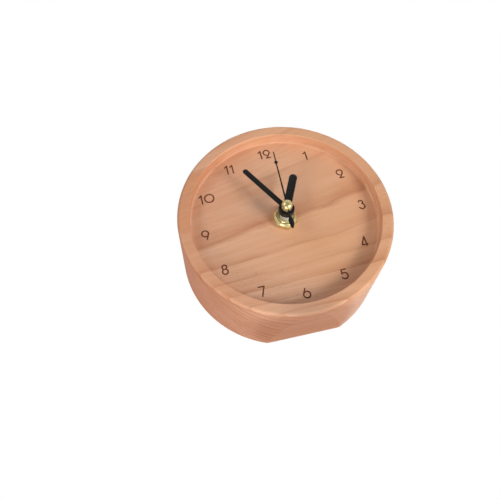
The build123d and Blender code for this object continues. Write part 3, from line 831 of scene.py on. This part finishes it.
@dataclass
class Numerals:
    """Twelve upright numbers of plain round strokes, burnt into the dial."""

    ring_radius: float = 38.0
    height: float = 4.55
    stroke: float = 0.74
    depth: float = 0.28
    gap: float = 0.32
    pair_shift: float = -0.75
    level: float = -6.3
    sides: int = 10
    end_turns: Triple = (0.45, 0.9, 1.35)

    def strokes(self, digit: str) -> tuple[float, list[list[Point]]]:
        """Strokes of a digit of height one, drawn about its own left foot.

        Args:
            digit: The digit.

        Returns:
            Its width and its strokes; a stroke that ends where it starts is a ring.
        """
        bowl = arc((0.31, 0.33), 0.33, 128, -155, 24)
        drawn = {
            "0": (0.96, [arc((0.48, 0.5), 0.48, 0, 360, 32)]),
            "1": (0.26, [[(0.26, 0), (0.26, 1)], [(0.26, 0.99), (0.02, 0.80)]]),
            "2": (0.62, [arc((0.32, 0.68), 0.32, 262, -38, 26) + [(0.26, 0.03)], [(0.20, 0.0), (0.64, 0.0)]]),
            "3": (0.62, [arc((0.28, 0.78), 0.22, 160, -62, 18), arc((0.30, 0.30), 0.30, 72, -160, 24)]),
            "4": (0.62, [[(0.5, 0), (0.45, 1)], [(0.43, 0.99), (0.03, 0.15)], [(0.03, 0.13), (0.6, 0.13)]]),
            "5": (0.62, [[(0.12, 1), (0.55, 1)], [(0.12, 0.99), (0.09, 0.56)], bowl]),
            "6": (0.68, [arc((0.34, 0.34), 0.34, 0, 360, 28), [(0.03, 0.46), (0.27, 1.0)]]),
            "7": (0.56, [[(0.0, 1.0), (0.56, 1.0)], [(0.55, 0.98), (0.2, 0.0)]]),
            "8": (0.6, [arc((0.30, 0.28), 0.28, 0, 360, 28), arc((0.30, 0.77), 0.23, 0, 360, 24)]),
            "9": (0.68, [arc((0.34, 0.66), 0.34, 0, 360, 28), [(0.65, 0.54), (0.44, 0.0)]]),
        }
        return drawn[digit]

    def placed(self) -> list[list[list[Point]]]:
        """Strokes of all twelve numbers on the dial.

        Returns:
            Layers of strokes; strokes of one layer don't touch.
        """
        layers: list[list[list[Point]]] = [[], [], []]
        for hour in range(1, 13):
            text = str(hour)
            sizes = [self.strokes(digit) for digit in text]
            width = sum(size for size, _ in sizes) + self.gap * (len(text) - 1)
            angle = math.radians(90 - 30 * hour)
            middle = (self.ring_radius * math.cos(angle), self.ring_radius * math.sin(angle))
            left = -width / 2 + self.pair_shift * (len(text) - 1) / self.height
            for size, lines in sizes:
                for layer, line in enumerate(lines):
                    spots = [(left + x, y - 0.5) for x, y in line]
                    spots = [(middle[0] + x * self.height, middle[1] + y * self.height) for x, y in spots]
                    layers[layer].append(spots)
                left += size + self.gap
        return layers

    def groove(self, shape: Shape, path: list[Point]) -> None:
        """Adds a round cutter along a path.

        Args:
            shape: The mesh that it is added to.
            path: The stroke's points.
        """
        ring = math.dist(path[0], path[-1]) < TINY
        spots = [Vector((x, y, 0)) for x, y in (path[:-1] if ring else path)]
        count = len(spots)
        radius = self.stroke / 2
        axis = Vector((0, 0, 1))
        rows = []

        def row(spot: Vector, ahead: Vector, share: float) -> list[bmesh.types.BMVert]:
            """One round of the cutter.

            Args:
                spot: Its middle on the dial.
                ahead: Direction of the stroke.
                share: Its share of the full radius.

            Returns:
                The round's corners.
            """
            aside = axis.cross(ahead).normalized() * radius * share
            lift = self.level + radius - self.depth
            turns = [math.tau * side / self.sides for side in range(self.sides)]
            rises = [radius * share * math.sin(turn) + lift for turn in turns]
            points = [spot + aside * math.cos(turn) + axis * rise for turn, rise in zip(turns, rises)]
            return [shape.verts.new(point) for point in points]

        for number, spot in enumerate(spots):
            before = spots[number - 1] if ring or number else spot
            after = spots[(number + 1) % count] if ring or number < count - 1 else spot
            ahead = (after - before).normalized()
            if not ring and number == 0:
                for turn in reversed(self.end_turns):
                    rows.append(row(spot - ahead * radius * math.sin(turn), ahead, math.cos(turn)))
            rows.append(row(spot, ahead, 1.0))
            if not ring and number == count - 1:
                for turn in self.end_turns:
                    rows.append(row(spot + ahead * radius * math.sin(turn), ahead, math.cos(turn)))
        pairs = list(zip(rows, rows[1:])) + ([(rows[-1], rows[0])] if ring else [])
        for first, second in pairs:
            for side in range(self.sides):
                after = (side + 1) % self.sides
                shape.faces.new((first[side], first[after], second[after], second[side]))
        if not ring:
            shape.faces.new(list(reversed(rows[0])))
            shape.faces.new(rows[-1])

    def burn_into(self, block: Object, burnt: Material) -> None:
        """Cuts the numbers into the case.

        Args:
            block: The case.
            burnt: Material of the cuts.
        """
        for number, strokes in enumerate(self.placed()):
            shape = bmesh.new()
            for path in strokes:
                self.groove(shape, path)
            outward(shape)
            cutter = as_object(f"numeral_cutter_{number}", shape, [burnt])
            cut = block.modifiers.new("numerals", "BOOLEAN")
            cut.operation = "DIFFERENCE"
            cut.solver = "EXACT"
            cut.material_mode = "TRANSFER"
            cut.object = cutter
            settled(block)
            bpy.data.objects.remove(cutter)


@dataclass
class BeechCase:
    """Turned block with the dial recess, the pocket behind and the flat that it stands on."""

    rim_width: float = 5.6
    recess_depth: float = 6.3
    dial_thickness: float = 5.0
    pocket_radius: float = 40.52
    hole_radius: float = 4.2
    outer_round: float = 1.5
    inner_round: float = 0.4
    foot_round: float = 1.0
    back_round: float = 1.0
    dial_rings: tuple[float, ...] = (14.0, 33.0)
    segments: int = 256

    def profile(self) -> list[Point]:
        """Section of the block, from the hole round the rim to the pocket.

        Returns:
            Radius and height of each point.
        """
        outer = AXES.case_radius
        recess = outer - self.rim_width
        back = -AXES.case_depth
        dial = -self.recess_depth
        under = dial - self.dial_thickness
        foot, lip, edge, rear = self.foot_round, self.inner_round, self.outer_round, self.back_round
        points = [(radius, dial) for radius in (self.hole_radius, *self.dial_rings)]
        points += arc((recess - foot, dial + foot), foot, -90, 0, 6)
        points += arc((recess + lip, -lip), lip, 180, 90, 6)
        points += arc((outer - edge, -edge), edge, 90, 0, 8)
        points += [(outer, back / 3), (outer, 2 * back / 3)]
        points += arc((outer - rear, back + rear), rear, 0, -90, 6)
        points += arc((self.pocket_radius + rear, back + rear), rear, -90, -180, 6)
        return points + [(self.pocket_radius, under), (self.hole_radius, under)]

    def flat_normal(self) -> Vector:
        """Direction that the flat faces."""
        return Vector((0, -math.cos(AXES.lean), -math.sin(AXES.lean)))

    def build(self) -> Object:
        """Builds the case with its numerals.

        Returns:
            The case.
        """
        shape = lathe(self.profile(), self.segments, True)
        whole = list(shape.verts) + list(shape.edges) + list(shape.faces)
        spot = Vector((0, -AXES.case_radius, -AXES.base_lip))
        normal = self.flat_normal()
        bmesh.ops.bisect_plane(shape, geom=whole, plane_co=spot, plane_no=normal, clear_outer=True)
        border = [edge for edge in shape.edges if edge.is_boundary]
        bmesh.ops.holes_fill(shape, edges=border, sides=0)
        outward(shape)
        block = as_object("beech_case", shape, [material_of(Slot.BEECH)])
        Numerals().burn_into(block, BurntBeech("burnt_beech").material())
        reshade(block.data, flats=(Vector((0, 0, -1)), AXES.ray((0, 0, 1))))
        return block

    def dress(self) -> None:
        """Builds the case and sets it on its body."""
        fit(self.build(), Body.CASE, Slot.BEECH, "case_body")


@dataclass
class CentreFixing:
    """Brass nut and threaded bushing in the middle of the dial."""

    bushing_radius: float = 4.0
    bushing_bore: float = 2.56
    bushing_top: float = -2.4
    flange_radius: float = 5.6
    flange_front: float = -13.8
    flange_rear: float = -14.4
    thread_pitch: float = 0.75
    thread_depth: float = 0.28
    chamfer: float = 0.15
    top_bevel: float = 0.12
    plain_foot: float = 1.0
    plain_ends: float = 1.6
    nut_round: float = 0.16

    def bushing(self) -> Object:
        """Turns the bushing with its thread, chamfered at the top.

        Returns:
            The bushing.
        """
        points = [(self.bushing_bore, self.flange_rear), (self.flange_radius, self.flange_rear)]
        points += [(self.flange_radius, self.flange_front), (self.bushing_radius, self.flange_front)]
        turns = int((self.bushing_top - self.flange_front - self.plain_ends) / self.thread_pitch)
        root = self.bushing_radius - self.thread_depth
        height = self.flange_front + self.plain_foot
        points.append((self.bushing_radius, height))
        for _ in range(turns):
            points.append((root, height + self.thread_pitch / 2))
            height += self.thread_pitch
            points.append((self.bushing_radius, height))
        top, bore, chamfer = self.bushing_top, self.bushing_bore, self.chamfer
        points += [(root, top - self.top_bevel), (root - chamfer, top)]
        points += [(bore + chamfer, top), (bore, top - chamfer)]
        shape = lathe(points, TURN_STEPS, True)
        crease(shape, 25.0)
        return as_object("brass_bushing", shape, [material_of(Slot.BRASS)])

    def dress(self) -> None:
        """Builds both pieces and sets them on the case."""
        fit(self.bushing(), Body.CASE, Slot.BRASS, "threaded_bushing")
        refit("hex_nut", "brass_nut", Body.CASE, Slot.BRASS, self.nut_round)


@dataclass
class BatonHand:
    """Stamped hand with a round end, riveted on a turned collar."""

    name: str
    width: float
    length: float
    angle: float
    level: float
    bore: float
    collar_height: float = 0.7
    thickness: float = 0.5
    hub_radius: float = 3.65
    edge_round: float = 0.22
    collar_inset: float = 0.06
    collar_foot: float = 0.2
    collar_head: float = 0.1
    seam: float = 0.01
    hub_steps: int = 60
    root_steps: int = 8

    def blade(self) -> Shape:
        """The flat blade with its hub and hole, pointing to 12 o'clock.

        Returns:
            The mesh in millimetres.
        """
        shape = bmesh.new()
        half = self.width / 2
        spread = math.degrees(math.asin(half / self.hub_radius))
        hub, root = self.hub_steps, self.root_steps
        angles = [90 + spread + (360 - 2 * spread) * step / hub for step in range(hub + 1)]
        angles += [90 - spread + 2 * spread * step / root for step in range(1, root)]
        outer, inner = [], []
        for angle in angles:
            ray = Vector((math.cos(math.radians(angle)), math.sin(math.radians(angle)), 0))
            outer.append(shape.verts.new(ray * self.hub_radius))
            inner.append(shape.verts.new(ray * self.bore))
        count = len(angles)
        for number in range(count):
            after = (number + 1) % count
            shape.faces.new((inner[number], outer[number], outer[after], inner[after]))
        tip = arc((0, self.length - half), half, 0, 180, 20)
        end = [shape.verts.new((x, y, 0)) for x, y in tip]
        shape.faces.new(outer[hub:] + [outer[0]] + list(reversed(end)))
        outward(shape)
        raised = bmesh.ops.extrude_face_region(shape, geom=list(shape.faces))
        moved = [item for item in raised["geom"] if isinstance(item, bmesh.types.BMVert)]
        bmesh.ops.translate(shape, verts=moved, vec=(0, 0, self.thickness))
        outward(shape)
        bmesh.ops.translate(shape, verts=shape.verts, vec=(0, 0, self.level))
        return shape

    def collar(self) -> Shape:
        """Turns the collar below the blade.

        Returns:
            The mesh in millimetres.
        """
        low, high = self.level - self.collar_height, self.level - self.seam
        outer = self.hub_radius - self.collar_inset
        foot, head = self.collar_foot, self.collar_head
        points = [(self.bore, low), (outer - foot, low)]
        points += arc((outer - foot, low + foot), foot, -90, 0, 3)[1:]
        points += arc((outer - head, high - head), head, 0, 90, 2)
        return lathe(points + [(self.bore, high)], TURN_STEPS, True)

    def build(self) -> Object:
        """Builds the hand at its angle.

        Returns:
            The hand.
        """
        turn = Matrix.Rotation(-math.radians(self.angle), 4, "Z")
        blade = self.blade()
        bmesh.ops.transform(blade, matrix=turn, verts=blade.verts)
        made = as_object(self.name, blade, [material_of(Slot.BLACK_PAINT)])
        soften(made, self.edge_round, 3, 40.0)
        collar = self.collar()
        collar.transform(AXES.to_row())
        crease(collar, 40.0)
        below = bpy.data.meshes.new(f"{self.name}_collar")
        collar.to_mesh(below)
        collar.free()
        both = bmesh.new()
        both.from_mesh(made.data)
        both.from_mesh(below)
        both.to_mesh(made.data)
        both.free()
        bpy.data.meshes.remove(below)
        return made


@dataclass
class Hands:
    """Hour, minute and second hand with the brass cap."""

    cap_radius: float = 2.5
    cap_low: float = 7.2
    cap_side: float = 0.5
    cap_dome: float = 1.5
    neck_radius: float = 1.3
    socket_radius: float = 2.4
    socket_low: float = 4.95
    socket_high: float = 6.8
    arbor_bore: float = 0.5
    second_round: float = 0.07
    socket_round: float = 0.15
    bore_depth: float = 0.5
    cap_bevel: float = 0.1
    cap_steps: int = 96

    def cap(self) -> Object:
        """Turns the polished dome on the second hand, with the socket below it that grips the arbor.

        Returns:
            The cap.
        """
        edge = self.cap_low + self.cap_side
        ball = (self.cap_radius**2 + self.cap_dome**2) / (2 * self.cap_dome)
        centre = edge + self.cap_dome - ball
        start = math.degrees(math.asin((edge - centre) / ball))
        low, high, soft = self.socket_low, self.socket_high, self.socket_round
        deep, bevel = low + self.bore_depth, self.cap_bevel
        points = [(0.0, deep), (self.arbor_bore, deep), (self.arbor_bore, low)]
        points += arc((self.socket_radius - soft, low + soft), soft, -90, 0, 4)
        points += arc((self.socket_radius - soft, high - soft), soft, 0, 90, 4)
        points += [(self.neck_radius, high), (self.neck_radius, self.cap_low)]
        drop, inset, rise = 0.06, 0.03, 0.02
        points += [(self.cap_radius - bevel, self.cap_low), (self.cap_radius, self.cap_low + bevel)]
        points += [(self.cap_radius, edge - drop), (self.cap_radius - inset, edge + rise)]
        points += arc((0, centre), ball, start, 90, 20)[1:-1] + [(0.0, edge + self.cap_dome)]
        shape = lathe(points, self.cap_steps, False)
        crease(shape, 50.0)
        return as_object("cap_dome", shape, [material_of(Slot.BRASS)])

    def dress(self) -> None:
        """Builds the hands and sets them on their bodies."""
        hour = BatonHand("hour_baton", width=3.8, length=19.8, angle=25.0, level=2.45, bore=2.52)
        minute = BatonHand("minute_baton", width=2.6, length=28.3, angle=329.4, level=4.05, bore=1.62)
        fit(hour.build(), Body.HOUR, Slot.BLACK_PAINT, "hour_hand")
        fit(minute.build(), Body.MINUTE, Slot.BLACK_PAINT, "minute_hand")
        refit("second_hand", "second_needle", Body.SECOND, Slot.BLACK_PAINT, self.second_round)
        fit(self.cap(), Body.SECOND, Slot.BRASS, "second_hand_cap")


@dataclass
class Cell:
    """Plain AA cell with a sleeve, a minus cup and a plus nub."""

    right: float = 26.05
    length: float = 50.5
    radius: float = 7.1
    nub_radius: float = 2.75
    nub_height: float = 1.0
    nub_round: float = 0.3
    sleeve_round: float = 0.35
    sleeve_inset: float = 0.4
    cup: tuple[Point, ...] = ((0.0, 0.05), (4.6, 0.0), (4.9, 0.12), (5.1, 0.5), (6.3, 0.55), (6.5, 0.3))
    y: float = -19.0
    z: float = -21.05

    def build(self) -> Object:
        """Builds the cell along X.

        Returns:
            The cell.
        """
        shoulder, soft = self.length - self.nub_height, self.sleeve_round
        inset, nub = self.sleeve_inset, self.nub_round
        side = arc((self.radius - soft, inset), soft, -110, 0, 5) + [(self.radius, self.length / 2)]
        side += arc((self.radius - soft, shoulder - inset), soft, 0, 110, 5)
        top = [(6.2, shoulder - 0.32), (3.5, shoulder - 0.12), (self.nub_radius, shoulder + 0.02)]
        top += arc((self.nub_radius - nub, self.length - nub), nub, 0, 90, 4) + [(0.0, self.length)]
        sleeve, steel = 0, 1
        kinds = [steel] * (len(self.cup) - 1) + [sleeve] * len(side) + [steel] * len(top)
        shape = lathe([*self.cup, *side, *top], TURN_STEPS, False, kinds)
        crease(shape, 40.0)
        swing = Matrix.Rotation(math.pi / 2, 4, "Y")
        place = Matrix.Translation((self.right - self.length, self.y, self.z))
        bmesh.ops.transform(shape, matrix=place @ swing, verts=shape.verts)
        return as_object("aa_cell", shape, [material_of(Slot.CELL_SLEEVE), material_of(Slot.STEEL)])

    def dress(self) -> None:
        """Builds the cell and sets it on its body."""
        fit(self.build(), Body.CELL, Slot.CELL_SLEEVE, "battery")


@dataclass
class Movement:
    """Black housing of the quartz movement, with its knob and moulded marks."""

    rear_z: float = -28.3
    edge_round: float = 0.3
    knob_round: float = 0.16
    knob_y: float = 21.128
    ring_inner: float = 7.2
    ring_outer: float = 7.7
    mark_height: float = 0.22
    mark_x: float = 22.0
    mark_y: float = -8.2
    mark_size: float = 3.2
    mark_stroke: float = 0.8
    mark_sink: float = 0.05
    mark_slope: float = 0.12
    ring_slope: float = 0.1

    def raised_bar(self, shape: Shape, middle: Point, size: Point) -> None:
        """Adds a raised bar with sloping sides on the cover.

        Args:
            shape: The mesh that it is added to.
            middle: Its middle.
            size: Its sizes along X and Y.
        """
        rows = []
        for level, inset in ((self.mark_sink, 0.0), (-self.mark_height, self.mark_slope)):
            across, up = size[0] / 2 - inset, size[1] / 2 - inset
            corners = [(-across, -up), (across, -up), (across, up), (-across, up)]
            places = [(middle[0] + dx, middle[1] + dy, self.rear_z + level) for dx, dy in corners]
            rows.append([shape.verts.new(place) for place in places])
        for side in range(4):
            after = (side + 1) % 4
            shape.faces.new((rows[0][side], rows[0][after], rows[1][after], rows[1][side]))
        shape.faces.new(rows[1])
        shape.faces.new(list(reversed(rows[0])))

    def marks(self) -> Object:
        """Raises plus and minus beside the cell and a ring round the knob.

        Returns:
            The marks as one piece.
        """
        low, high, slope = self.rear_z + self.mark_sink, self.rear_z - self.mark_height, self.ring_slope
        points = [(self.ring_outer, low), (self.ring_outer - slope, high), (self.ring_inner + slope, high)]
        shape = lathe(points + [(self.ring_inner, low)], TURN_STEPS, True)
        bmesh.ops.translate(shape, verts=shape.verts, vec=(0, self.knob_y, 0))
        long, thin = self.mark_size, self.mark_stroke
        for side in (-1, 1):
            self.raised_bar(shape, (side * self.mark_x, self.mark_y), (long, thin))
        arm = (long - thin) / 2
        for side in (1, -1):
            self.raised_bar(shape, (self.mark_x, self.mark_y + side * (arm + thin) / 2), (thin, arm))
        outward(shape)
        crease(shape, 30.0)
        return as_object("cover_marks", shape, [material_of(Slot.BLACK_PLASTIC)])

    def dress(self) -> None:
        """Builds the housing and sets it on its bodies."""
        plastic = Slot.BLACK_PLASTIC
        refit("movement_base", "movement_tray", Body.CASE, plastic, self.edge_round)
        refit("movement_cover", "movement_lid", Body.CASE, plastic, self.edge_round)
        refit("setting_knob", "ribbed_knob", Body.SETTING, plastic, self.knob_round)
        fit(self.marks(), Body.CASE, plastic)


@dataclass
class InnerWorks:
    """CAD nodes that keep their shape and get their finish here."""

    def finishes(self) -> dict[Slot, tuple[str, ...]]:
        """Sorts the nodes by their finish.

        Returns:
            The nodes of each slot.
        """
        wheels = [f"{name}_wheel" for name in ("intermediate", "second", "third", "centre", "motion")]
        return {
            Slot.RUBBER: ("gasket",),
            Slot.DARK_STEEL: ("rotor",),
            Slot.STEEL: ("stator", "coil_core", "movement_screws", "contact_positive", "contact_negative"),
            Slot.WHITE_PLASTIC: ("coil_bobbin", "cannon_pinion", "setting_shaft", *wheels),
            Slot.COPPER_WIRE: ("coil_winding",),
            Slot.SILVER: ("hour_wheel", "crystal"),
            Slot.BOARD: ("circuit_board",),
            Slot.BLACK_RESIN: ("chip",),
        }

    def dress(self) -> None:
        """Gives each node its material."""
        for slot, nodes in self.finishes().items():
            for node in nodes:
                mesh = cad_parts[node].data
                mesh.materials.clear()
                mesh.materials.append(material_of(slot))
                log.info("%s keeps its shape, finish %s", node, slot.label)


@dataclass(frozen=True)
class Lamp:
    """Square soft light that faces the dial, with its way in the clock's axes and its sizes in metres."""

    name: str
    way: Triple
    reach: float
    size: float
    power: float
    tint: Triple = (1.0, 1.0, 1.0)
    dial: Triple = (0.0, 0.0, -6.3)

    def place(self) -> None:
        """Adds the light to the scene."""
        data = bpy.data.lights.new(self.name, "AREA")
        data.shape = "SQUARE"
        data.size = self.size
        data.energy = self.power
        data.color = self.tint
        ray = AXES.ray(self.way)
        pose = ray.to_track_quat("Z", "Y").to_matrix().to_4x4()
        pose.translation = AXES.to_row() @ Vector(self.dial) + ray * self.reach
        linked(self.name, data).matrix_world = pose


WARM = (1.0, 0.97, 0.93)
COOL = (0.93, 0.97, 1.0)
WHITE = (1.0, 1.0, 1.0, 1.0)
BLACK = (0.0, 0.0, 0.0, 1.0)


@dataclass
class Studio:
    """Camera of the photograph, pale floor and soft lights."""

    lens: float = 41.05
    sensor: float = 36.0
    eye: Triple = (-51.06, -121.49, 228.15)
    right: Triple = (0.9729, -0.2300, 0.0229)
    down: Triple = (-0.1972, -0.8777, -0.4367)
    ahead: Triple = (0.1205, 0.4204, -0.8993)
    floor_half: float = 4.0
    floor_drop: float = 0.0002
    paper: Colour = srgb(238, 238, 237)
    paper_cloud: Colour = srgb(232, 232, 232)
    glow_from: float = 0.08
    glow_to: float = 1.5
    glow: float = 0.85
    patch_reach: float = 0.022
    patch_edge: float = 1.5
    patch_clear: float = 0.46
    sky: float = 0.29
    dim_way: Triple = (0.0, 0.0, 1.0)
    dim_span: Point = (0.55, 0.90)
    dim_least: float = 0.2
    dim_most: float = 0.75
    card_way: Triple = (-0.75, -0.25, -0.60)
    card_span: Point = (0.30, 0.80)
    card: Colour = (0.55, 0.10, 0.05, 1.0)
    lamps: tuple[Lamp, ...] = (
        Lamp("key", (0.55, -0.60, 0.58), 1.30, 0.46, 11.0, WARM),
        Lamp("low_fill", (-0.56, -0.75, 0.34), 1.60, 0.60, 9.6, WARM),
        Lamp("left_fill", (-0.62, 0.36, 0.70), 1.60, 0.50, 4.6, COOL),
        Lamp("side_fill", (-0.10, -0.99, -0.06), 1.60, 0.60, 5.0, WARM),
        Lamp("rear", (0.35, 0.85, -0.60), 0.90, 0.80, 6.0),
    )

    def camera(self) -> None:
        """Sets the camera where the photograph was taken."""
        data = bpy.data.cameras.new("photo_camera")
        data.sensor_fit = "HORIZONTAL"
        data.sensor_width = self.sensor
        data.lens = self.lens
        data.clip_start = 0.01
        made = linked("photo_camera", data)
        turn = AXES.turn().to_3x3()
        columns = [turn @ Vector(self.right), turn @ -Vector(self.down), turn @ -Vector(self.ahead)]
        pose = Matrix(columns).transposed().to_4x4()
        pose.translation = AXES.to_row() @ Vector(self.eye)
        made.matrix_world = pose
        bpy.context.scene.camera = made

    def floor(self) -> None:
        """Lays the floor: clear from below and to light, less so under the flat, and paler far off."""
        material = bpy.data.materials.new("studio_paper")
        material.use_nodes = True
        graph = Graph(material.node_tree)
        shader = material.node_tree.nodes["Principled BSDF"]
        output = material.node_tree.nodes["Material Output"]
        place = graph.node("ShaderNodeTexCoord").outputs["Object"]
        cloud = graph.noise(place, 3.0)
        reach = graph.node("ShaderNodeVectorMath", {0: place}, operation="LENGTH").outputs["Value"]
        glow = graph.span(reach, self.glow_from, self.glow_to, 0.0, self.glow)
        looks = {
            "Base Color": graph.mix(cloud, self.paper, self.paper_cloud),
            "Roughness": 0.9,
            "Emission Color": graph.mix(glow, BLACK, WHITE),
            "Emission Strength": 1.0,
        }
        graph.fill(shader, looks)
        behind = graph.node("ShaderNodeNewGeometry").outputs["Backfacing"]
        seen = graph.node("ShaderNodeLightPath").outputs["Is Camera Ray"]
        patch = graph.span(reach, self.patch_reach, self.patch_edge * self.patch_reach, self.patch_clear, 1.0)
        unseen = graph.times(graph.math("SUBTRACT", 1.0, seen), patch)
        clear = graph.math("MAXIMUM", graph.times(behind, seen), unseen)
        mixed = graph.node("ShaderNodeMixShader", {0: clear, 1: shader.outputs[0]})
        graph.feed(mixed.inputs[2], graph.node("ShaderNodeBsdfTransparent").outputs[0])
        graph.feed(output.inputs["Surface"], mixed.outputs[0])
        shape = bmesh.new()
        bmesh.ops.create_grid(shape, x_segments=8, y_segments=8, size=self.floor_half)
        bmesh.ops.translate(shape, verts=shape.verts, vec=(0, 0, -self.floor_drop))
        as_object("studio_floor", shape, [material], from_clock=False)

    def sky_light(self) -> None:
        """Sets a white surround, dimmer as a light, with a dim side for metal and a red card."""
        world = bpy.data.worlds.new("studio")
        bpy.context.scene.world = world
        world.use_nodes = True
        graph = Graph(world.node_tree)
        kind = graph.node("ShaderNodeLightPath").outputs
        way = graph.node("ShaderNodeTexCoord").outputs["Generated"]

        def towards(side: Triple) -> Socket:
            """How far a ray points to a side, up to one."""
            both = {0: way, 1: AXES.ray(side)}
            return graph.node("ShaderNodeVectorMath", both, operation="DOT_PRODUCT").outputs["Value"]

        dim = graph.span(towards(self.dim_way), *self.dim_span, self.dim_least, self.dim_most)
        dim = graph.times(kind["Is Glossy Ray"], dim)
        bright = graph.scaled(kind["Is Diffuse Ray"], self.sky - 1.0, 1.0)
        unseen = graph.math("SUBTRACT", 1.0, kind["Is Camera Ray"])
        share = graph.times(unseen, graph.span(towards(self.card_way), *self.card_span))
        looks = {"Color": graph.mix(share, WHITE, self.card), "Strength": graph.math("SUBTRACT", bright, dim)}
        graph.fill(world.node_tree.nodes["Background"], looks)

    def set_up(self) -> None:
        """Sets camera, floor and lights."""
        self.camera()
        self.floor()
        self.sky_light()
        for lamp in self.lamps:
            lamp.place()
        view = bpy.context.scene.view_settings
        view.view_transform = "Standard"
        view.look = "None"


def main() -> None:
    """Builds the clock's pieces in order, dresses them and sets the studio."""
    logging.basicConfig(level=logging.INFO, format="%(name)s: %(message)s")
    InnerWorks().dress()
    BeechCase().dress()
    CentreFixing().dress()
    Hands().dress()
    Movement().dress()
    Cell().dress()
    Studio().set_up()


if __name__ == "__main__":
    main()
